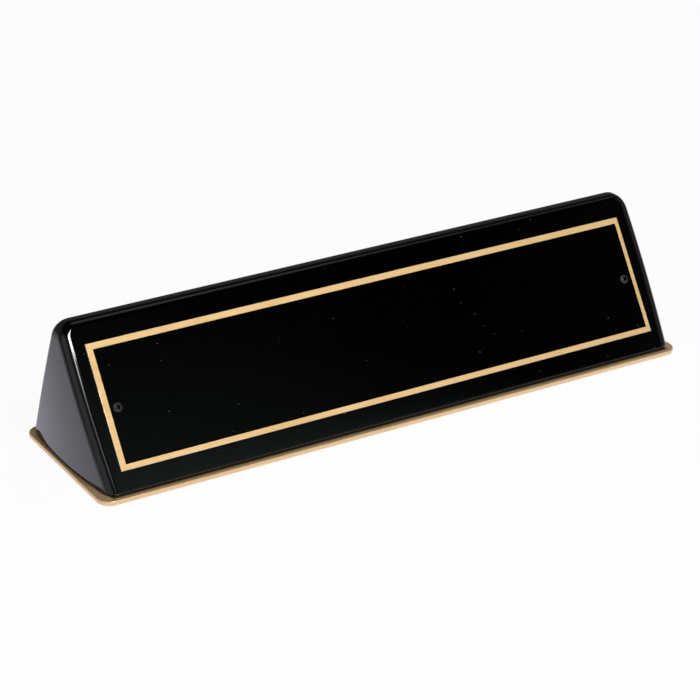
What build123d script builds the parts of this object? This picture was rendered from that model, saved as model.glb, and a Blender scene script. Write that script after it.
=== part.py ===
from build123d import *
import os
from math import cos, radians, sin

# Desk name plate: a lacquered wedge block on a brass base plate, with a screwed-on engraving plate.
# Millimetres, degrees. Origin under the middle of the feet, +X along the length to the reader's right,
# +Y away from the reader, +Z up.

# Engraving plate, a nominal 10 in by 2 in brass sheet
plate_length = 254.0
plate_width = 51.4
plate_thickness = 0.64
plate_rim_left = 2.6
plate_rim_right = 1.9
plate_rim_top = 2.6
plate_rim_bottom = 2.3
plate_rim_depth = 0.08
plate_screw_inset = 5.8
plate_screw_drop = 1.2

# Wedge block
block_end_margin = 9.8
block_face_margin = 9.6
block_front_angle = 56.6
block_ridge_width = 6.7
block_back_run = 26.4
block_end_bow = 2.8
block_end_lean = 1.3
block_top_corner_round = 7.0
block_edge_round = 4.2
block_foot_round = 1.3

# Base plate
base_end_overhang = 0.6
base_side_overhang = 1.5
base_thickness = 1.9
base_corner_round = 6.0
base_top_round = 0.35
base_bottom_round = 0.3
base_screw_end_inset = 35.0

# Rubber feet
foot_diameter = 9.5
foot_height = 1.6
foot_edge_round = 0.5
foot_inset = 13.0

# Plate screws, number 2 wood screws with a low domed head
plate_screw_head_diameter = 3.8
plate_screw_head_rim = 0.35
plate_screw_head_height = 1.0
plate_screw_diameter = 2.2
plate_screw_core = 1.5
plate_screw_length = 9.5
plate_screw_pitch = 0.9
plate_screw_tip = 1.8
plate_screw_cross_span = 2.6
plate_screw_cross_width = 0.75
plate_screw_cross_depth = 0.9
plate_screw_turns = {"left": 20.0, "right": 40.0}

# Base screws, number 6 wood screws with a countersunk head
base_screw_head_diameter = 6.8
base_screw_head_rim = 0.25
base_screw_diameter = 3.5
base_screw_core = 2.4
base_screw_length = 16.0
base_screw_pitch = 1.4
base_screw_tip = 3.0
base_screw_cross_span = 3.8
base_screw_cross_width = 0.9
base_screw_cross_depth = 1.2

# Fits: room round a screw in its hole, room past its point, and how far cuts run past a face
screw_clearance = 0.1
screw_end_room = 0.8
cut_overrun = 1.0

# Sizes that follow from those above
block_length = plate_length + 2 * block_end_margin
face_length = plate_width + 2 * block_face_margin
front_run = face_length * cos(radians(block_front_angle))
block_height = face_length * sin(radians(block_front_angle))
block_depth = front_run + block_ridge_width + block_back_run
base_length = block_length + 2 * base_end_overhang
base_depth = block_depth + 2 * base_side_overhang
base_bottom = foot_height
base_top = base_bottom + base_thickness
block_top = base_top + block_height
front_foot = -block_depth / 2
back_foot = block_depth / 2
ridge_front = front_foot + front_run
ridge_back = ridge_front + block_ridge_width
plate_screw_x = plate_length / 2 - plate_screw_inset
base_screw_x = block_length / 2 - base_screw_end_inset

# The sloping front face: local X runs along the length, local Y up the slope, local Z out of the face
front_plane = Plane(
    origin=(0, front_foot + front_run / 2, base_top + block_height / 2),
    x_dir=(1, 0, 0),
    z_dir=(0, -block_height, front_run),
)
back_normal = (0, block_height, block_back_run)


def screw_hole(diameter, depth):
    """Straight hole with room round the screw, from just above its mouth at the origin down to its depth."""
    length = depth + cut_overrun
    top = Pos(0, 0, cut_overrun - length / 2)
    return top * Cylinder(diameter / 2 + screw_clearance, length)


def end_disc(side):
    """Large disc whose rounded, leaning rim bows one end of the block outwards."""
    half = block_depth / 2
    radius = (half**2 + block_end_bow**2) / (2 * block_end_bow)
    disc = Cone(radius, radius - block_end_lean, block_height)
    disc = fillet(disc.edges().group_by(Axis.Z)[-1], block_top_corner_round)
    return Pos(side * (block_length / 2 - radius), 0, base_top + block_height / 2) * disc


def wedge_block():
    """Solid wedge: long section, bowed ends, rounded edges, and pilot holes for the screws."""
    section = make_face(
        Polyline(
            (front_foot, base_top),
            (ridge_front, block_top),
            (ridge_back, block_top),
            (back_foot, base_top),
            close=True,
        )
    )
    block = extrude(Plane.YZ * section, block_length / 2, both=True)
    for side in (-1, 1):
        block = block & end_disc(side)
    front_edges = block.faces().sort_by(Axis((0, 0, 0), front_plane.z_dir))[-1].edges().sort_by(Axis.Z)[1:]
    back_edges = block.faces().sort_by(Axis((0, 0, 0), back_normal))[-1].edges().sort_by(Axis.Z)[1:]
    block = fillet(front_edges + back_edges, block_edge_round)
    block = fillet(block.faces().sort_by(Axis.Z)[0].edges(), block_foot_round)
    for place in plate_screw_places():
        block -= place * screw_hole(plate_screw_diameter, plate_screw_length + screw_end_room)
    for place in base_screw_places():
        block -= place * screw_hole(base_screw_diameter, base_screw_length + screw_end_room)
        block -= place * countersink()
    return block


def name_plate():
    """Flat sheet on the front face, its uneven rim a shallow step below the coated field, with two holes."""
    field_length = plate_length - plate_rim_left - plate_rim_right
    field_width = plate_width - plate_rim_top - plate_rim_bottom
    field_centre = Pos((plate_rim_left - plate_rim_right) / 2, (plate_rim_bottom - plate_rim_top) / 2, 0)
    field = field_centre * Rectangle(field_length, field_width)
    plate = extrude(Rectangle(plate_length, plate_width), plate_thickness - plate_rim_depth)
    plate += extrude(field, plate_thickness)
    plate = front_plane * plate
    for place in plate_screw_places():
        plate -= place * screw_hole(plate_screw_diameter, plate_thickness + cut_overrun)
    return plate


def base_plate():
    """Thin plate with rounded corners and edges, and countersunk holes along its middle."""
    plate = extrude(RectangleRounded(base_length, base_depth, base_corner_round), base_thickness)
    plate = fillet(plate.edges().group_by(Axis.Z)[-1], base_top_round)
    plate = fillet(plate.edges().group_by(Axis.Z)[0], base_bottom_round)
    plate = Pos(0, 0, base_bottom) * plate
    for place in base_screw_places():
        plate -= place * screw_hole(base_screw_diameter, base_thickness + cut_overrun)
        plate -= place * countersink()
    return plate


def foot():
    """Round rubber bumper, standing on the origin, with its lower edge rounded."""
    bumper = extrude(Circle(foot_diameter / 2), foot_height)
    return fillet(bumper.edges().group_by(Axis.Z)[0], foot_edge_round)


def shank_points(start, length, diameter, core, pitch, tip):
    """Half outline of a threaded shank, as pairs of radius and height, from under the head to the point."""
    points = [(core / 2, start)]
    turns = int((length + start - tip) / pitch)
    for turn in range(turns):
        root = start - turn * pitch
        points.append((diameter / 2, root - pitch / 2))
        points.append((core / 2, root - pitch))
    points.append((0, -length))
    return points


def cross_recess(top, span, width, depth):
    """Tapered cross-shaped driver recess, cut down from top."""
    cross = Rectangle(span, width) + Rectangle(width, span)
    arms = extrude(Pos(0, 0, top) * cross, cut_overrun)
    core = loft([
        Pos(0, 0, top) * Rectangle(span, width),
        Pos(0, 0, top - depth) * Rectangle(width, width),
    ])
    return arms + core + Rot(0, 0, 90) * core


def plate_screw():
    """Domed cross-head screw, seated at the origin and pointing down."""
    radius = plate_screw_head_diameter / 2
    crown = plate_screw_head_height - plate_screw_head_rim
    dome = (radius**2 + crown**2) / (2 * crown)
    half_angle = radians(Vector(dome - crown, radius).get_angle(Vector(1, 0)) / 2)
    centre = plate_screw_head_height - dome
    middle = (dome * sin(half_angle), centre + dome * cos(half_angle))
    arc = ThreePointArc((0, plate_screw_head_height), middle, (radius, plate_screw_head_rim))
    shank = shank_points(
        0, plate_screw_length, plate_screw_diameter, plate_screw_core, plate_screw_pitch, plate_screw_tip
    )
    side = Polyline((radius, plate_screw_head_rim), (radius, 0), *shank, (0, plate_screw_head_height))
    screw = revolve(Plane.XZ * make_face(arc + side), Axis.Z)
    return screw - cross_recess(
        plate_screw_head_height, plate_screw_cross_span, plate_screw_cross_width, plate_screw_cross_depth
    )


def countersunk_depth():
    """Depth of the base screws' head: its rim and its right-angled cone."""
    return base_screw_head_rim + (base_screw_head_diameter - base_screw_core) / 2


def countersink():
    """Seat that takes the head of a base screw exactly, open at its mouth."""
    radius = base_screw_head_diameter / 2
    depth = countersunk_depth()
    outline = Polyline(
        (0, cut_overrun),
        (radius, cut_overrun),
        (radius, -base_screw_head_rim),
        (base_screw_core / 2, -depth),
        (0, -depth),
        close=True,
    )
    return revolve(Plane.XZ * make_face(outline), Axis.Z)


def base_screw():
    """Countersunk cross-head screw, its flat head flush with the origin, pointing down."""
    radius = base_screw_head_diameter / 2
    under_head = -countersunk_depth()
    shank = shank_points(
        under_head, base_screw_length, base_screw_diameter, base_screw_core, base_screw_pitch, base_screw_tip
    )
    outline = Polyline((0, 0), (radius, 0), (radius, -base_screw_head_rim), *shank, close=True)
    screw = revolve(Plane.XZ * make_face(outline), Axis.Z)
    return screw - cross_recess(0, base_screw_cross_span, base_screw_cross_width, base_screw_cross_depth)


def plate_screw_places():
    """Seats of the plate screws: on the plate's field, near its ends, a little below halfway up."""
    seat = front_plane.offset(plate_thickness)
    return [seat.location * Pos(side * plate_screw_x, -plate_screw_drop, 0) for side in (-1, 1)]


def base_screw_places():
    """Seats of the base screws: under the base plate, along its middle, pointing up."""
    return [Pos(step * base_screw_x, 0, base_bottom) * Rot(180, 0, 0) for step in (-1, 0, 1)]


parts = {
    "wedge_block": wedge_block(),
    "name_plate": name_plate(),
    "base_plate": base_plate(),
}
for (name, turn), place in zip(plate_screw_turns.items(), plate_screw_places()):
    parts["plate_screw_" + name] = place * Rot(0, 0, turn) * plate_screw()
for name, place in zip(("left", "middle", "right"), base_screw_places()):
    parts["base_screw_" + name] = place * base_screw()
for row, y_side in (("front", -1), ("back", 1)):
    for name, x_side in (("left", -1), ("right", 1)):
        x = x_side * (base_length / 2 - foot_inset)
        y = y_side * (base_depth / 2 - foot_inset)
        parts["foot_" + row + "_" + name] = Pos(x, y, 0) * foot()

os.makedirs("parts", exist_ok=True)
for node, solid in parts.items():
    solid.label = node
    export_step(solid, "parts/" + node + ".step")
print("block %.1f x %.1f x %.1f, base %.1f x %.1f, ridge at %.1f" % (
    block_length, block_depth, block_height, base_length, base_depth, block_top))
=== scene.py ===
import math

import bmesh
import bpy
from mathutils import Matrix, Vector


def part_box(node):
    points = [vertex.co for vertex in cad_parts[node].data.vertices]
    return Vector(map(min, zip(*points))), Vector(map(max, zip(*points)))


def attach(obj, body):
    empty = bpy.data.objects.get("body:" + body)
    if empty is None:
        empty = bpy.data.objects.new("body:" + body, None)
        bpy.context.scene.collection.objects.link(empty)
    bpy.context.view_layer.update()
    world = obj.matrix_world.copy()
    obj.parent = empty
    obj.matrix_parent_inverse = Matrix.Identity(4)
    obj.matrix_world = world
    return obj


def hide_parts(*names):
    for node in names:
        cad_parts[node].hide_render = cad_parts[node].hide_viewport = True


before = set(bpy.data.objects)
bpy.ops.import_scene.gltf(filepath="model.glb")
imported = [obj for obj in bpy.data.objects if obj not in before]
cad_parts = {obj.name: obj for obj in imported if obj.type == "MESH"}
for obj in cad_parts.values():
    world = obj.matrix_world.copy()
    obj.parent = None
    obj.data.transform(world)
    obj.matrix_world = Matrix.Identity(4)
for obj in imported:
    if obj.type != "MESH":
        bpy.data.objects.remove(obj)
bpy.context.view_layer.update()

# Sizes, in metres. What the frame can tell comes from the frame, the rest repeats the part's own sizes.
mm = 0.001

# Wedge block
block_low, block_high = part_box("wedge_block")
base_top = block_low.z
block_top = block_high.z
block_height = block_top - base_top
front_angle = math.radians(56.6)
front_run = block_height / math.tan(front_angle)
ridge_width = 6.7 * mm
back_run = 26.4 * mm
block_depth = front_run + ridge_width + back_run
front_foot = -block_depth / 2
back_foot = block_depth / 2
end_margin = 9.8 * mm
end_bow = 2.8 * mm
end_lean = 1.3 * mm
top_corner_round = 7.0 * mm
edge_round = 4.2 * mm
foot_round = 1.3 * mm

# Engraving plate
plate_low, plate_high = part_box("name_plate")
plate_length = plate_high.x - plate_low.x
plate_width = 51.4 * mm
plate_thickness = 0.64 * mm
rim_left = 2.6 * mm
rim_right = 1.9 * mm
rim_top = 2.6 * mm
rim_bottom = 2.3 * mm
rim_depth = 0.08 * mm
plate_edge_round = 0.1 * mm
block_length = plate_length + 2 * end_margin

# Base plate, its left end a little out of square
base_low, base_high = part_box("base_plate")
base_bottom = base_low.z
base_corner_round = 6.0 * mm
base_top_round = 0.35 * mm
base_bottom_round = 0.3 * mm
base_left_front_out = 0.95 * mm
base_left_back_in = 0.45 * mm

# Painted contact shade on the base along the block's foot: full up to one distance past the block's outline
# and gone by another, less far out at the ends
contact_shade_from = -1.0 * mm
contact_shade_to = 0.1 * mm
contact_shade_end_in = 0.6 * mm
colour_kept_in_contact_shade = 0.15

# Rubber feet
foot_height = base_bottom
foot_radius = 4.75 * mm
foot_edge_round = 0.5 * mm

# Plate screws. A face of the head is in the recess when it lies well inside the rim and under the dome.
screw_low, screw_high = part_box("plate_screw_right")
plate_screw_x = (screw_low.x + screw_high.x) / 2
plate_screw_drop = 1.2 * mm
dome_head_radius = 1.9 * mm
dome_head_rim = 0.35 * mm
dome_head_height = 1.0 * mm
dome_shank = dict(length=9.5 * mm, radius=1.1 * mm, core=0.75 * mm, pitch=0.9 * mm, tip=1.8 * mm)
dome_cross = dict(span=2.6 * mm, width=0.75 * mm, depth=0.9 * mm)
dome_turns = {"left": math.radians(20), "right": math.radians(40)}
recess_inside_rim = 0.1 * mm
recess_under_dome = 0.03 * mm

# Base screws
flat_head_radius = 3.4 * mm
flat_head_rim = 0.25 * mm
flat_shank = dict(length=16.0 * mm, radius=1.75 * mm, core=1.2 * mm, pitch=1.4 * mm, tip=3.0 * mm)
flat_cross = dict(span=3.8 * mm, width=0.9 * mm, depth=1.2 * mm)
flat_head_depth = flat_head_rim + flat_head_radius - flat_shank["core"]

# Modelling: room round a screw, how far a cut runs past a face, how near counts as the same place,
# how much of a level face's normal points straight up, and how far a cross recess narrows at its floor
screw_clearance = 0.1 * mm
cut_overrun = 1.0 * mm
nearness = 0.01 * mm
merge_distance = 0.001 * mm
level_share = 0.99
cross_floor_share = 0.8

# How fine the meshes are: segments of roundings, slices, and steps of turned shapes
corner_segments = 16
edge_segments = 12
foot_segments = 5
base_top_segments = 4
thin_edge_segments = 3
bow_slices = 13
turning_steps = 64
dome_steps = 10
bumper_steps = 6

# Shading: faces that meet at a smaller angle than this look smooth, and flat faces outweigh roundings
smooth_angle = math.radians(35)
flat_face_weight = 100

# Places of the further materials on a piece
coat_index = 1
cut_edge_index = 2
recess_index = 1

# The sloping front face: local X along the length, local Y up the slope, local Z out of the face
face_centre = Vector((0, front_foot + front_run / 2, base_top + block_height / 2))
face_turn = Matrix.Rotation(front_angle, 4, "X")
face_place = Matrix.Translation(face_centre) @ face_turn
front_normal = face_turn.to_3x3() @ Vector((0, 0, 1))
back_point = Vector((0, back_foot, base_top))
back_normal = Vector((0, block_height, back_run)).normalized()


# Modelling tools

def start_piece(name):
    """Names the primitive that was just added, with its size and place put into its mesh."""
    bpy.ops.object.transform_apply(location=True, rotation=True, scale=True)
    piece = bpy.context.object
    piece.name = name
    piece.data.name = name
    return piece


def start_box(name, size, centre):
    """Box of a size, as the start of a piece."""
    bpy.ops.object.select_all(action="DESELECT")
    bpy.ops.mesh.primitive_cube_add(size=1, location=centre, scale=size)
    return start_piece(name)


def choose(piece, kind, wanted):
    """Goes into edit mode with only the wanted edges or faces selected."""
    bpy.ops.object.mode_set(mode="EDIT")
    bpy.ops.mesh.select_mode(type=kind)
    bpy.ops.mesh.select_all(action="DESELECT")
    mesh = bmesh.from_edit_mesh(piece.data)
    mesh.normal_update()
    for item in {"EDGE": mesh.edges, "FACE": mesh.faces}[kind]:
        if wanted(item):
            item.select_set(True)
    bmesh.update_edit_mesh(piece.data)


def leave_edit():
    """Goes back from edit mode."""
    bpy.ops.object.mode_set(mode="OBJECT")


def select_only(piece):
    """Makes a piece the only selected one, and the active one."""
    bpy.ops.object.select_all(action="DESELECT")
    piece.select_set(True)
    bpy.context.view_layer.objects.active = piece


def apply_modifier(piece, kind, **settings):
    """Adds a modifier with its settings and applies it."""
    select_only(piece)
    modifier = piece.modifiers.new(kind.lower(), kind)
    for name, value in settings.items():
        setattr(modifier, name, value)
    bpy.ops.object.modifier_apply(modifier=modifier.name)


def round_edges(piece, wanted, radius, segments):
    """Rounds the wanted edges to one radius, whatever the angle at which their faces meet."""
    mesh = bmesh.new()
    mesh.from_mesh(piece.data)
    weight = mesh.edges.layers.float.new("bevel_weight_edge")
    setbacks = {}
    for edge in mesh.edges:
        if wanted(edge):
            setbacks[edge] = radius * math.tan(edge.calc_face_angle() / 2)
    widest = max(setbacks.values())
    for edge, setback in setbacks.items():
        edge[weight] = setback / widest
    mesh.to_mesh(piece.data)
    mesh.free()
    apply_modifier(
        piece, "BEVEL", limit_method="WEIGHT", width=widest, segments=segments, use_clamp_overlap=False
    )
    piece.data.attributes.remove(piece.data.attributes["bevel_weight_edge"])


def cut_away(piece, cutter):
    """Cuts a cutter's shape out of a piece and throws the cutter away."""
    apply_modifier(piece, "BOOLEAN", object=cutter, operation="DIFFERENCE", solver="EXACT")
    bpy.data.objects.remove(cutter)


def smooth_gloss(piece):
    """Smooth shading in which the flat faces stay flat, so that reflections run true across them."""
    select_only(piece)
    bpy.ops.object.shade_smooth_by_angle(angle=smooth_angle)
    apply_modifier(piece, "WEIGHTED_NORMAL", keep_sharp=True, mode="FACE_AREA", weight=flat_face_weight)


def turned(name, outline):
    """Turns a half outline, pairs of radius and height from axis to axis, round Z into a closed solid."""
    bpy.ops.object.select_all(action="DESELECT")
    bpy.ops.mesh.primitive_plane_add(size=1)
    piece = start_piece(name)
    bpy.ops.object.mode_set(mode="EDIT")
    bpy.ops.mesh.select_mode(type="VERT")
    bpy.ops.mesh.select_all(action="SELECT")
    bpy.ops.mesh.merge(type="CENTER")
    bpy.ops.transform.translate(value=(outline[0][0], 0, outline[0][1]))
    for start, end in zip(outline, outline[1:]):
        step = (end[0] - start[0], 0, end[1] - start[1])
        bpy.ops.mesh.extrude_region_move(TRANSFORM_OT_translate={"value": step})
    bpy.ops.mesh.select_all(action="SELECT")
    bpy.ops.mesh.spin(steps=turning_steps, angle=2 * math.pi, center=(0, 0, 0), axis=(0, 0, 1))
    bpy.ops.mesh.select_all(action="SELECT")
    bpy.ops.mesh.remove_doubles(threshold=merge_distance)
    bpy.ops.mesh.normals_make_consistent(inside=False)
    leave_edit()
    return piece


def copy_to(piece, name, place):
    """Copy of a piece, with its own mesh, moved to a place."""
    copy = piece.copy()
    copy.data = piece.data.copy()
    copy.name = name
    copy.data.name = name
    copy.data.transform(place)
    bpy.context.collection.objects.link(copy)
    return copy


# Where an edge lies

def at(value, target):
    """Whether a value is as good as the target."""
    return abs(value - target) < nearness


def at_height(edge, height):
    """Whether an edge lies level at a height."""
    return all(at(vertex.co.z, height) for vertex in edge.verts)


def at_depth(edge, depth):
    """Whether an edge lies at one depth, front to back."""
    return all(at(vertex.co.y, depth) for vertex in edge.verts)


def in_plane(edge, point, normal):
    """Whether an edge lies in the plane through a point."""
    return all(at((vertex.co - point).dot(normal), 0) for vertex in edge.verts)


def upright(edge):
    """Whether an edge stands upright."""
    start, end = (vertex.co for vertex in edge.verts)
    return at(start.x, end.x) and at(start.y, end.y)


# Pieces

def lacquered_block():
    """Wedge with a sloping front and back, rounded ridge, corners and foot, and ends that bow outwards."""
    size = (block_length, block_depth, block_height)
    ridge_length = block_length - 2 * end_lean

    def end_of_ridge(edge):
        start, end = (vertex.co for vertex in edge.verts)
        return at_height(edge, block_top) and at(abs(start.x + end.x), ridge_length)

    def around_face(edge):
        on_face = in_plane(edge, face_centre, front_normal) or in_plane(edge, back_point, back_normal)
        return on_face and not at_height(edge, base_top)

    block = start_box("lacquered_block", size, (0, 0, base_top + block_height / 2))
    choose(block, "EDGE", lambda edge: at_height(edge, block_top) and at_depth(edge, front_foot))
    bpy.ops.transform.translate(value=(0, front_run, 0))
    choose(block, "EDGE", lambda edge: at_height(edge, block_top) and at_depth(edge, back_foot))
    bpy.ops.transform.translate(value=(0, -back_run, 0))
    choose(block, "FACE", lambda face: face.normal.z > level_share)
    bpy.ops.transform.resize(value=(ridge_length / block_length, 1, 1))
    leave_edit()
    round_edges(block, end_of_ridge, top_corner_round, corner_segments)
    round_edges(block, around_face, edge_round, edge_segments)
    round_edges(block, lambda edge: at_height(edge, base_top), foot_round, foot_segments)
    bow_ends(block)
    smooth_gloss(block)
    return block


def bow_ends(block):
    """Slices the block along its length and draws its ends in towards the front and the back."""
    for step in range(1, bow_slices):
        choose(block, "FACE", lambda face: True)
        cut = front_foot + block_depth * step / bow_slices
        bpy.ops.mesh.bisect(plane_co=(0, cut, 0), plane_no=(0, 1, 0))
    leave_edit()
    for vertex in block.data.vertices:
        draw = end_bow * (vertex.co.y / (block_depth / 2)) ** 2
        vertex.co.x -= math.copysign(draw, vertex.co.x)


def brass_base():
    """Flat plate with rounded corners and edges, and countersunk holes underneath."""
    base = start_box("brass_base", base_high - base_low, (base_low + base_high) / 2)
    round_edges(base, upright, base_corner_round, corner_segments)
    round_edges(base, lambda edge: at_height(edge, base_top), base_top_round, base_top_segments)
    round_edges(base, lambda edge: at_height(edge, base_bottom), base_bottom_round, thin_edge_segments)
    for place in base_screw_places():
        cutter = turned("cutter", countersink_outline())
        cutter.data.transform(place)
        cut_away(base, cutter)
    skew_left_end(base)
    smooth_gloss(base)
    return base


def skew_left_end(base):
    """Takes the base's left end out of square, with its corners."""
    for vertex in base.data.vertices:
        if vertex.co.x < base_low.x + base_corner_round + nearness:
            back_share = (vertex.co.y - base_low.y) / (base_high.y - base_low.y)
            vertex.co.x += (base_left_front_out + base_left_back_in) * back_share - base_left_front_out


def engraving_plate():
    """Thin sheet whose field stands a little above its bare rim, laid on the block's front."""
    sheet = plate_thickness - rim_depth
    plate = start_box("engraving_plate", (plate_length, plate_width, sheet), (0, 0, sheet / 2))
    round_edges(plate, lambda edge: at_height(edge, sheet), plate_edge_round, thin_edge_segments)
    choose(plate, "FACE", lambda face: face.normal.z > level_share)
    bpy.ops.mesh.inset(thickness=rim_left - plate_edge_round, depth=0)
    even_length = plate_length - 2 * rim_left
    even_width = plate_width - 2 * rim_left
    field_length = plate_length - rim_left - rim_right
    field_width = plate_width - rim_top - rim_bottom
    bpy.ops.transform.resize(value=(field_length / even_length, field_width / even_width, 1))
    shift = ((rim_left - rim_right) / 2, (rim_bottom - rim_top) / 2, 0)
    bpy.ops.transform.translate(value=shift)
    bpy.ops.mesh.extrude_region_move(TRANSFORM_OT_translate={"value": (0, 0, rim_depth)})
    leave_edit()
    for seat in plate_screw_seats().values():
        hole = turned("cutter", screw_hole_outline())
        hole.data.transform(seat)
        cut_away(plate, hole)
    smooth_gloss(plate)
    for face in plate.data.polygons:
        facing_up = face.normal.z > level_share
        if facing_up and at(face.center.z, plate_thickness):
            face.material_index = coat_index
        elif not facing_up and face.center.z < sheet:
            face.material_index = cut_edge_index
    plate.data.transform(face_place)
    return plate


def screw_hole_outline():
    """Half outline of a plate screw's hole, from above the plate to below it."""
    radius = dome_shank["radius"] + screw_clearance
    depth = plate_thickness + cut_overrun
    return [(0, cut_overrun), (radius, cut_overrun), (radius, -depth), (0, -depth)]


def countersink_outline():
    """Half outline of a base screw's seat, from outside the base to past its far face."""
    core = flat_shank["core"]
    return [
        (0, cut_overrun),
        (flat_head_radius, cut_overrun),
        (flat_head_radius, -flat_head_rim),
        (core, -flat_head_depth),
        (core, -flat_head_depth - cut_overrun),
        (0, -flat_head_depth - cut_overrun),
    ]


def shank_outline(start, length, radius, core, pitch, tip):
    """Half outline of a threaded shank, from under the head to the point."""
    points = [(core, start)]
    for turn in range(int((length + start - tip) / pitch)):
        root = start - turn * pitch
        points.append((radius, root - pitch / 2))
        points.append((core, root - pitch))
    points.append((0, -length))
    return points


def cross_cutter(top, span, width, depth, turn):
    """One arm of a cross recess, drawn in towards its bottom, standing past the head's top."""
    cutter = start_box("cutter", (span, width, depth), (0, 0, top - depth / 2))
    choose(cutter, "FACE", lambda face: face.normal.z < -level_share)
    bpy.ops.transform.resize(value=(width / span, cross_floor_share, 1))
    choose(cutter, "FACE", lambda face: face.normal.z > level_share)
    bpy.ops.mesh.extrude_region_move(TRANSFORM_OT_translate={"value": (0, 0, cut_overrun)})
    leave_edit()
    cutter.data.transform(Matrix.Rotation(turn, 4, "Z"))
    return cutter


def cut_cross(screw, top, cross):
    """Cuts both arms of a cross recess into a screw's head."""
    for turn in (0, math.pi / 2):
        cut_away(screw, cross_cutter(top, turn=turn, **cross))


def domed_screw():
    """Low domed wood screw, seated at the origin and pointing down."""
    crown = dome_head_height - dome_head_rim
    ball = (dome_head_radius**2 + crown**2) / (2 * crown)
    half_arc = math.asin(dome_head_radius / ball)
    outline = []
    for step in range(dome_steps + 1):
        angle = half_arc * step / dome_steps
        outline.append((ball * math.sin(angle), dome_head_height - ball + ball * math.cos(angle)))
    outline.append((dome_head_radius, 0))
    screw = turned("domed_screw", outline + shank_outline(0, **dome_shank))
    cut_cross(screw, dome_head_height, dome_cross)
    smooth_gloss(screw)
    ball_centre = Vector((0, 0, dome_head_height - ball))
    for face in screw.data.polygons:
        in_head = face.center.z > nearness
        inside_rim = math.hypot(*face.center.xy) < dome_head_radius - recess_inside_rim
        under_dome = (face.center - ball_centre).length < ball - recess_under_dome
        if in_head and inside_rim and under_dome:
            face.material_index = recess_index
    return screw


def flat_screw():
    """Countersunk wood screw, its flat head flush with the origin, pointing down."""
    outline = [(0, 0), (flat_head_radius, 0), (flat_head_radius, -flat_head_rim)]
    screw = turned("flat_screw", outline + shank_outline(-flat_head_depth, **flat_shank))
    cut_cross(screw, 0, flat_cross)
    smooth_gloss(screw)
    return screw


def rubber_foot():
    """Round bumper, standing on the origin, with its lower edge rounded."""
    outline = [(0, foot_height), (foot_radius, foot_height)]
    for step in range(bumper_steps + 1):
        angle = math.pi / 2 * step / bumper_steps
        across = foot_radius - foot_edge_round + foot_edge_round * math.cos(angle)
        outline.append((across, foot_edge_round - foot_edge_round * math.sin(angle)))
    outline.append((0, 0))
    foot = turned("rubber_foot", outline)
    smooth_gloss(foot)
    return foot


def middle_of(node):
    """Middle of a node's box in the frame."""
    low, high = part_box(node)
    return (low + high) / 2


def plate_screw_seats():
    """Seats of the plate screws on the flat plate, near its ends, a little below halfway up."""
    seats = {}
    for name, side in (("left", -1), ("right", 1)):
        seats[name] = Matrix.Translation((side * plate_screw_x, -plate_screw_drop, plate_thickness))
    return seats


def base_screw_places():
    """Seats of the base screws: under the base plate, pointing up."""
    flip = Matrix.Rotation(math.pi, 4, "X")
    places = []
    for node in ("base_screw_left", "base_screw_middle", "base_screw_right"):
        middle = middle_of(node)
        places.append(Matrix.Translation((middle.x, middle.y, base_bottom)) @ flip)
    return places


# Materials. A Mix node has several sockets of one name, so those for colours go by number.
mix_factor = 0
mix_from = 6
mix_to = 7
mix_result = 2


def linear(hex_colour):
    """Linear colour of an sRGB hex value."""
    channels = [int(hex_colour[place:place + 2], 16) / 255 for place in (1, 3, 5)]
    return [c / 12.92 if c <= 0.04045 else ((c + 0.055) / 1.055) ** 2.4 for c in channels] + [1]


def add_node(tree, kind, settings, inputs):
    """Adds a node with its settings, and its sockets set to values or linked to other sockets."""
    new = tree.nodes.new("ShaderNode" + kind)
    for name, value in settings.items():
        setattr(new, name, value)
    for name, value in inputs.items():
        if isinstance(value, bpy.types.NodeSocket):
            tree.links.new(value, new.inputs[name])
        else:
            new.inputs[name].default_value = value
    return new.outputs


def start_material(name):
    """New material with an empty tree, and the object's own coordinates in metres."""
    material = bpy.data.materials.new(name)
    material.use_nodes = True
    tree = material.node_tree
    tree.nodes.clear()
    place = add_node(tree, "TexCoord", {}, {})["Object"]
    return material, tree, place


def finish_material(tree, inputs):
    """Principled shader with the given sockets, as the material's surface."""
    surface = add_node(tree, "BsdfPrincipled", {}, inputs)["BSDF"]
    add_node(tree, "OutputMaterial", {}, {"Surface": surface})


def lacquer(name, roughness, index):
    """Black polyester lacquer, sprayed and buffed: deep black gloss, faint orange peel, a few dust nibs."""
    peel_size = 7 * mm
    peel_depth = 0.008 * mm
    nib_spacing = 5.5 * mm
    nib_radius = 0.22 * mm
    haze_size = 30 * mm
    nib_share = nib_radius / nib_spacing
    material, tree, place = start_material(name)
    peel = add_node(tree, "TexNoise", {}, {"Vector": place, "Scale": 1 / peel_size, "Detail": 1})["Fac"]
    bump = add_node(tree, "Bump", {}, {"Height": peel, "Strength": 1, "Distance": peel_depth})["Normal"]
    off_nib = add_node(tree, "TexVoronoi", {}, {"Vector": place, "Scale": 1 / nib_spacing})["Distance"]
    nib = add_node(tree, "MapRange", {}, {
        "Value": off_nib, "From Min": nib_share, "From Max": nib_share / 2})["Result"]
    tone = add_node(tree, "Mix", {"data_type": "RGBA"}, {
        mix_factor: nib, mix_from: linear("#010101"), mix_to: linear("#6d7270")})[mix_result]
    haze = add_node(tree, "TexNoise", {}, {"Vector": place, "Scale": 1 / haze_size, "Detail": 4})["Fac"]
    gloss = add_node(tree, "MapRange", {}, {
        "Value": haze,
        "From Min": 0.3,
        "From Max": 0.7,
        "To Min": roughness * 0.7,
        "To Max": roughness * 1.3,
    })["Result"]
    finish_material(tree, {"Base Color": tone, "Roughness": gloss, "IOR": index, "Normal": bump})
    return material


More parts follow.
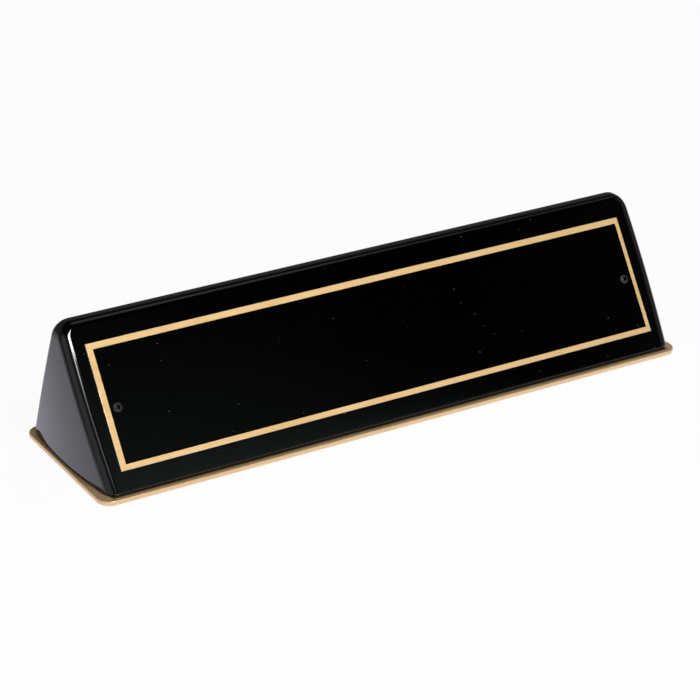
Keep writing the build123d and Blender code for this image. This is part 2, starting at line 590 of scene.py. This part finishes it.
def brass(name, pale, deep, metallic, roughness, grain, depth, painted_contact_shade=False):
    """Brass, rolled and rubbed along its length: warm gold with fine lines and a slightly uneven tone.

    The lines of a real rubbing are finer than the grain, which is drawn as coarse as it needs to show.
    """
    grain_stretch = (0.03, 1, 1)
    cloud_size = 18 * mm
    material, tree, place = start_material(name)
    stretched = add_node(tree, "Mapping", {}, {"Vector": place, "Scale": grain_stretch})["Vector"]
    lines = add_node(tree, "TexNoise", {}, {"Vector": stretched, "Scale": 1 / grain, "Detail": 3})["Fac"]
    cloud = add_node(tree, "TexNoise", {}, {"Vector": place, "Scale": 1 / cloud_size, "Detail": 4})["Fac"]
    blend = add_node(tree, "Math", {"operation": "MULTIPLY_ADD"}, {0: lines, 1: 0.5, 2: cloud})["Value"]
    share = add_node(tree, "MapRange", {}, {"Value": blend, "From Min": 0.5, "From Max": 1.0})["Result"]
    tone = add_node(tree, "Mix", {"data_type": "RGBA"}, {
        mix_factor: share, mix_from: linear(deep), mix_to: linear(pale)})[mix_result]
    gloss = add_node(tree, "MapRange", {}, {
        "Value": lines,
        "From Min": 0.3,
        "From Max": 0.7,
        "To Min": roughness * 0.8,
        "To Max": roughness * 1.2,
    })["Result"]
    bump = add_node(tree, "Bump", {}, {"Height": lines, "Strength": 1, "Distance": depth})["Normal"]
    # Painted shade: the base darkens along the block's foot, where the contact shadow falls
    if painted_contact_shade:
        unshaded = unshaded_share(tree, place)
        tone = add_node(tree, "VectorMath", {"operation": "SCALE"}, {0: tone, "Scale": unshaded})["Vector"]
    finish_material(tree, {"Base Color": tone, "Metallic": metallic, "Roughness": gloss, "Normal": bump})
    return material


def unshaded_share(tree, place):
    """Share of unshaded brass: little on top along the block's foot, where painted shade stands for the
    contact shadow, else all.
    """
    bow_per_square = end_bow / (block_depth / 2) ** 2
    end_line = block_length / 2 - contact_shade_end_in
    axes = add_node(tree, "SeparateXYZ", {}, {"Vector": place})
    along = add_node(tree, "Math", {"operation": "ABSOLUTE"}, {0: axes["X"]})["Value"]
    across = add_node(tree, "Math", {"operation": "ABSOLUTE"}, {0: axes["Y"]})["Value"]
    square = add_node(tree, "Math", {"operation": "MULTIPLY"}, {0: across, 1: across})["Value"]
    bowed = add_node(tree, "Math", {"operation": "MULTIPLY_ADD"}, {
        0: square, 1: bow_per_square, 2: along})["Value"]
    past_end = add_node(tree, "Math", {"operation": "SUBTRACT"}, {0: bowed, 1: end_line})["Value"]
    past_side = add_node(tree, "Math", {"operation": "SUBTRACT"}, {0: across, 1: block_depth / 2})["Value"]
    past = add_node(tree, "Math", {"operation": "MAXIMUM"}, {0: past_end, 1: past_side})["Value"]
    unshaded = add_node(tree, "MapRange", {}, {
        "Value": past,
        "From Min": contact_shade_from,
        "From Max": contact_shade_to,
        "To Min": colour_kept_in_contact_shade,
        "To Max": 1,
    })["Result"]
    below_top = add_node(tree, "Math", {"operation": "LESS_THAN"}, {
        0: axes["Z"], 1: base_top - base_top_round})["Value"]
    return add_node(tree, "Math", {"operation": "MAXIMUM"}, {0: unshaded, 1: below_top})["Value"]


def screw_steel(name, pale, deep, metallic, roughness):
    """Small steel screw with a thin finish: blotched by its bath, in tone and in gloss."""
    blotch_size = 1.2 * mm
    material, tree, place = start_material(name)
    blotch = add_node(tree, "TexNoise", {}, {"Vector": place, "Scale": 1 / blotch_size, "Detail": 4})["Fac"]
    share = add_node(tree, "MapRange", {}, {"Value": blotch, "From Min": 0.35, "From Max": 0.65})["Result"]
    tone = add_node(tree, "Mix", {"data_type": "RGBA"}, {
        mix_factor: share, mix_from: linear(deep), mix_to: linear(pale)})[mix_result]
    gloss = add_node(tree, "MapRange", {}, {
        "Value": blotch, "To Min": roughness * 0.8, "To Max": roughness * 1.2})["Result"]
    finish_material(tree, {"Base Color": tone, "Metallic": metallic, "Roughness": gloss})
    return material


def grime_and_shade_recess():
    """Driver recess, its black finish matt with old polish and painted shade: the dark cross on a screw
    head.
    """
    grime_size = 0.4 * mm
    material, tree, place = start_material("grime_and_shade_recess")
    grime = add_node(tree, "TexNoise", {}, {"Vector": place, "Scale": 1 / grime_size, "Detail": 2})["Fac"]
    # Painted shade: the recess is drawn near black for the shade in it, mottled by grime
    tone = add_node(tree, "Mix", {"data_type": "RGBA"}, {
        mix_factor: grime, mix_from: linear("#020202"), mix_to: linear("#080808")})[mix_result]
    finish_material(tree, {"Base Color": tone, "Roughness": 0.9, "Specular IOR Level": 0.1})
    return material


def moulded_rubber():
    """Black rubber, moulded: matt dark grey with a fine pitted skin."""
    pit_size = 0.35 * mm
    pit_depth = 0.03 * mm
    material, tree, place = start_material("moulded_rubber")
    pits = add_node(tree, "TexNoise", {}, {"Vector": place, "Scale": 1 / pit_size, "Detail": 3})["Fac"]
    tone = add_node(tree, "Mix", {"data_type": "RGBA"}, {
        mix_factor: pits, mix_from: linear("#151515"), mix_to: linear("#262625")})[mix_result]
    bump = add_node(tree, "Bump", {}, {"Height": pits, "Strength": 1, "Distance": pit_depth})["Normal"]
    gloss = add_node(tree, "MapRange", {}, {"Value": pits, "To Min": 0.6, "To Max": 0.85})["Result"]
    finish_material(tree, {"Base Color": tone, "Roughness": gloss, "Normal": bump})
    return material


def studio_paper():
    """White paper sweep: matt, nearly pure white to the eye and in reflections, with a soft shadow."""
    fibre_size = 2 * mm
    near_start = 150 * mm
    near_end = 260 * mm
    far_start = 300 * mm
    far_end = 1500 * mm
    dimmed_share = 0.62
    mirrored_white = (0.97, 0.96, 1.08)
    white_share = 0.95
    material, tree, place = start_material("studio_paper")
    fibre = add_node(tree, "TexNoise", {}, {"Vector": place, "Scale": 1 / fibre_size, "Detail": 2})["Fac"]
    tone = add_node(tree, "Mix", {"data_type": "RGBA"}, {
        mix_factor: fibre, mix_from: linear("#f4f4f4"), mix_to: linear("#f7f7f7")})[mix_result]
    paper = add_node(tree, "BsdfDiffuse", {}, {"Color": tone})["BSDF"]
    # In reflections the paper dims away from the object, first near it and then slowly
    reach = add_node(tree, "VectorMath", {"operation": "LENGTH"}, {0: place})["Value"]
    mirrored = mirrored_white
    for start, end in ((near_start, near_end), (far_start, far_end)):
        fall = add_node(tree, "MapRange", {}, {
            "Value": reach,
            "From Min": start,
            "From Max": end,
            "To Min": 1,
            "To Max": dimmed_share,
        })["Result"]
        mirrored = add_node(tree, "VectorMath", {"operation": "SCALE"}, {
            0: mirrored, "Scale": fall})["Vector"]
    ray = add_node(tree, "LightPath", {}, {})
    shown = add_node(tree, "Mix", {"data_type": "RGBA"}, {
        mix_factor: ray["Is Camera Ray"], mix_from: mirrored, mix_to: linear("#ffffff")})[mix_result]
    white = add_node(tree, "Emission", {}, {"Color": shown, "Strength": 1})["Emission"]
    direct = add_node(tree, "Math", {"operation": "ADD"}, {
        0: ray["Is Camera Ray"], 1: ray["Is Glossy Ray"]})["Value"]
    seen = add_node(tree, "Math", {"operation": "ADD", "use_clamp": True}, {
        0: direct, 1: ray["Is Transmission Ray"]})["Value"]
    share = add_node(tree, "Math", {"operation": "MULTIPLY"}, {0: seen, 1: white_share})["Value"]
    surface = add_node(tree, "MixShader", {}, {0: share, 1: paper, 2: white})["Shader"]
    add_node(tree, "OutputMaterial", {}, {"Surface": surface})
    return material


# Assembly

def dress(piece, slot, nodes, *materials):
    """Gives a piece its materials, its body and the nodes that it stands for; the slot is not used."""
    for material in materials:
        piece.data.materials.append(material)
    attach(piece, "root")
    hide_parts(*nodes)


def build():
    """Makes every piece in its finish, in place of its node."""
    black = lacquer("piano_black_lacquer", roughness=0.06, index=1.5)
    coat = lacquer("black_plate_coat", roughness=0.08, index=1.36)
    rim = brass(
        "satin_brass", "#e9c691", "#e0bb81", metallic=0.5, roughness=0.65, grain=0.5 * mm, depth=0.01 * mm
    )
    cut_edge = brass(
        "cut_brass", "#f7e6d2", "#eed5b8", metallic=0.8, roughness=0.25, grain=0.3 * mm, depth=0.001 * mm
    )
    polished = brass(
        "polished_brass", "#f3d1a1", "#e9c290",
        metallic=0.6, roughness=0.36, grain=0.6 * mm, depth=0.0006 * mm, painted_contact_shade=True,
    )
    blackened = screw_steel("blackened_steel", "#282929", "#1d1e1e", metallic=0, roughness=0.6)
    recess = grime_and_shade_recess()
    zinc = screw_steel("zinc_plated_steel", "#c9ccce", "#9fa4a8", metallic=1, roughness=0.32)
    rubber = moulded_rubber()

    dress(lacquered_block(), "black_lacquer", ["wedge_block"], black)
    dress(brass_base(), "polished_brass", ["base_plate"], polished)
    dress(engraving_plate(), "black_coated_brass", ["name_plate"], rim, coat, cut_edge)

    dome = domed_screw()
    for name, seat in plate_screw_seats().items():
        turn = Matrix.Rotation(dome_turns[name], 4, "Z")
        screw = copy_to(dome, "domed_screw_" + name, face_place @ seat @ turn)
        dress(screw, "black_screw", ["plate_screw_" + name], blackened, recess)
    bpy.data.objects.remove(dome)

    flat = flat_screw()
    for name, place in zip(("left", "middle", "right"), base_screw_places()):
        screw = copy_to(flat, "flat_screw_" + name, place)
        dress(screw, "zinc_screw", ["base_screw_" + name], zinc)
    bpy.data.objects.remove(flat)

    foot = rubber_foot()
    for row in ("front", "back"):
        for side in ("left", "right"):
            middle = middle_of("foot_" + row + "_" + side)
            place = Matrix.Translation((middle.x, middle.y, 0))
            bumper = copy_to(foot, "bumper_" + row + "_" + side, place)
            dress(bumper, "rubber", ["foot_" + row + "_" + side], rubber)
    bpy.data.objects.remove(foot)


# Stage, light and camera. Directions are azimuth and elevation, in degrees.
floor_size = 8.0

key_azimuth = -2
key_elevation = 45.5
key_distance = 1.1
key_width = 0.34
key_height = 0.2
key_radiance = 33
key_aim = Vector((0, 0, 30 * mm))

# The room: light walls and a dark ceiling, parted by the height of a direction, and a dark patch
# that the block's front mirrors, given by its direction and the angles within and beyond which it counts
wall_light = 0.16
ceiling_light = 0.04
wall_top = 0.6
ceiling_edge = 0.76
room_tint = (0.94, 1.06, 0.98)
dark_patch = (26, 46, 20, 38)

# Glows that the gloss mirrors: direction, angle within which each is full and beyond which it is gone,
# strength and tint
mirrored_glows = [
    # Pale wall, in the left end
    (-66, 20, 18, 31, 0.5, (0.95, 1.04, 1.02)),
    # Halo of the key light, in the tail of the highlight on the left front edge
    (-3, 43, 2.2, 5.8, 26, (0.98, 1.0, 1.0)),
    # Its spill, in the thin line below that tail
    (-8, 39, 3, 8, 1.8, (0.98, 1.0, 1.0)),
    # Faint sheens, low on the front and on the right front edge
    (22, 24, 7, 15, 0.28, (0.82, 1.05, 0.95)),
    (62, 19, 10, 26, 0.13, (0.94, 1.06, 0.98)),
    # Line along the front of the ridge, in its left and its right part
    (106, 69, 6, 13.5, 0.52, (0.98, 1.04, 0.96)),
    (98, 54, 2, 7, 0.34, (1.0, 1.02, 1.0)),
]

camera_azimuth = -31.01
camera_elevation = 24.966
camera_distance = 1.1008
camera_aim = Vector((-5.5 * mm, 0, 22.05 * mm))
lens_px = 2655.7
picture_px = 700
sensor_width_mm = 36


def lay_floor():
    """Paper floor, large enough for its edge to stay out of sight."""
    bpy.ops.object.select_all(action="DESELECT")
    bpy.ops.mesh.primitive_plane_add(size=floor_size)
    floor = start_piece("studio_floor")
    floor.data.materials.append(studio_paper())


def direction(azimuth, elevation):
    """Direction from the object: azimuth 0 is the reader's side, and 90 the reader's right."""
    a = math.radians(azimuth)
    e = math.radians(elevation)
    return Vector((math.sin(a) * math.cos(e), -math.cos(a) * math.cos(e), math.sin(e)))


def hang_key_light():
    """Rectangular soft light that faces the object, with a plain radiance."""
    light = bpy.data.lights.new("key_light", "AREA")
    light.shape = "RECTANGLE"
    light.size = key_width
    light.size_y = key_height
    light.energy = key_radiance * key_width * key_height * math.pi
    lamp = bpy.data.objects.new("key_light", light)
    towards = direction(key_azimuth, key_elevation)
    lamp.location = key_aim + towards * key_distance
    lamp.rotation_euler = towards.to_track_quat("Z", "Y").to_euler()
    bpy.context.collection.objects.link(lamp)


def glow_towards(tree, towards, azimuth, elevation, inner, outer, inside, outside):
    """Strength that has one value within an angle of a direction, and goes to another at a wider angle."""
    centre = direction(azimuth, elevation)
    cosine = add_node(tree, "VectorMath", {"operation": "DOT_PRODUCT"}, {0: towards, 1: centre})["Value"]
    return add_node(tree, "MapRange", {"interpolation_type": "SMOOTHSTEP"}, {
        "Value": cosine,
        "From Min": math.cos(math.radians(outer)),
        "From Max": math.cos(math.radians(inner)),
        "To Min": outside,
        "To Max": inside,
    })["Result"]


def light_room():
    """Dim room with a pale wall on the left, and faint glows that the gloss mirrors as its soft lines."""
    world = bpy.data.worlds.new("studio")
    bpy.context.scene.world = world
    world.use_nodes = True
    tree = world.node_tree
    tree.nodes.clear()
    towards = add_node(tree, "TexCoord", {}, {})["Generated"]
    rise = add_node(tree, "SeparateXYZ", {}, {"Vector": towards})["Z"]
    walls = add_node(tree, "MapRange", {}, {
        "Value": rise,
        "From Min": wall_top,
        "From Max": ceiling_edge,
        "To Min": wall_light,
        "To Max": ceiling_light,
    })["Result"]
    shade = glow_towards(tree, towards, *dark_patch, inside=0, outside=1)
    room = add_node(tree, "Math", {"operation": "MULTIPLY"}, {0: walls, 1: shade})["Value"]
    colour = add_node(tree, "VectorMath", {"operation": "MULTIPLY"}, {0: room, 1: room_tint})["Vector"]
    for azimuth, elevation, inner, outer, strength, tint in mirrored_glows:
        glow = glow_towards(tree, towards, azimuth, elevation, inner, outer, inside=strength, outside=0)
        colour = add_node(tree, "VectorMath", {"operation": "MULTIPLY_ADD"}, {
            0: glow, 1: tint, 2: colour})["Vector"]
    background = add_node(tree, "Background", {}, {"Color": colour, "Strength": 1})["Background"]
    add_node(tree, "OutputWorld", {}, {"Surface": background})


def place_camera():
    """Camera at the photograph's viewpoint."""
    data = bpy.data.cameras.new("camera")
    data.sensor_width = sensor_width_mm
    data.lens = lens_px / picture_px * sensor_width_mm
    camera = bpy.data.objects.new("camera", data)
    back = direction(camera_azimuth, camera_elevation)
    camera.location = camera_aim + back * camera_distance
    camera.rotation_euler = back.to_track_quat("Z", "Y").to_euler()
    bpy.context.collection.objects.link(camera)
    bpy.context.scene.camera = camera


build()
lay_floor()
light_room()
hang_key_light()
place_camera()
bpy.context.scene.view_settings.view_transform = "Standard"
